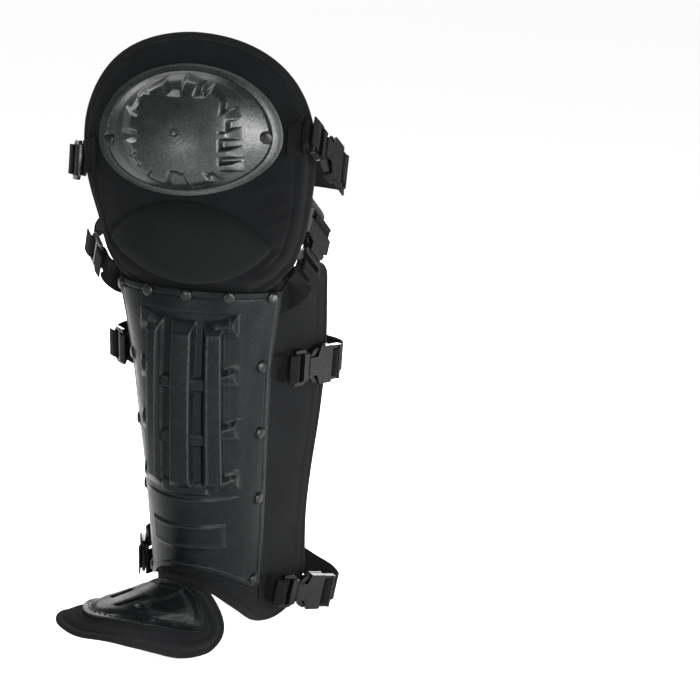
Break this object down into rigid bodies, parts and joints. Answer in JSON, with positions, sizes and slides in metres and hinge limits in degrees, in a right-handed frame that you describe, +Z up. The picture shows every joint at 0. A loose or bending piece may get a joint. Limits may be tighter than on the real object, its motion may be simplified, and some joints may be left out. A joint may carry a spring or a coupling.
{
  "type": "riot leg guard",
  "caption": "Protective guard for the knee, shin and instep: padded fabric panels with moulded hard shells, held by webbing straps with side-release buckles.",
  "frame": {"origin": "on the axis of the leg at the middle of the shin, inside the hollow of the guard", "axes": "+Z up the leg, -Y the way the shin's front faces, +X towards the edge with the buckles, which is the viewer's right from the front"},
  "size_m": [0.2876, 0.3227, 0.6429],
  "materials": {
    "black_shell": "fine grained, satin",
    "black_nylon": "woven nylon over foam",
    "black_neoprene": "knit-faced foam, matt",
    "black_binding": "sewn woven tape",
    "black_webbing": "ribbed woven webbing",
    "black_acetal": "moulded, semi-gloss",
    "black_rivet": "black lacquered, semi-gloss"
  },
  "bodies": {
    "root": {"ankle_buckle_base": "black_acetal", "ankle_buckle_body": "black_acetal", "ankle_left_tab": "black_webbing", "ankle_right_tab": "black_webbing", "ankle_slider": "black_acetal", "ankle_strap": "black_webbing", "cap_rivet_left": "black_rivet", "cap_rivet_right": "black_rivet", "foot_cap": "black_shell", "foot_hinge": "black_webbing", "foot_pad": "black_nylon", "foot_pad_binding": "black_binding", "knee_buckle_base": "black_acetal", "knee_buckle_body": "black_acetal", "knee_cap": "black_shell", "knee_left_tab": "black_webbing", "knee_pad": "black_nylon", "knee_pad_binding": "black_binding", "knee_right_tab": "black_webbing", "knee_roll": "black_neoprene", "knee_slider": "black_acetal", "knee_strap": "black_webbing", "mid_shin_buckle_base": "black_acetal", "mid_shin_buckle_body": "black_acetal", "mid_shin_left_tab": "black_webbing", "mid_shin_right_tab": "black_webbing", "mid_shin_slider": "black_acetal", "mid_shin_strap": "black_webbing", "plate_rivet_left_1": "black_rivet", "plate_rivet_left_2": "black_rivet", "plate_rivet_left_3": "black_rivet", "plate_rivet_left_4": "black_rivet", "plate_rivet_right_1": "black_rivet", "plate_rivet_right_2": "black_rivet", "plate_rivet_right_3": "black_rivet", "plate_rivet_right_4": "black_rivet", "plate_rivet_top_1": "black_rivet", "plate_rivet_top_2": "black_rivet", "plate_rivet_top_3": "black_rivet", "plate_rivet_top_4": "black_rivet", "plate_rivet_top_5": "black_rivet", "shin_pad": "black_nylon", "shin_pad_binding": "black_binding", "shin_plate": "black_shell", "upper_shin_buckle_base": "black_acetal", "upper_shin_buckle_body": "black_acetal", "upper_shin_left_tab": "black_webbing", "upper_shin_right_tab": "black_webbing", "upper_shin_slider": "black_acetal", "upper_shin_strap": "black_webbing"}
  },
  "joints": []
}
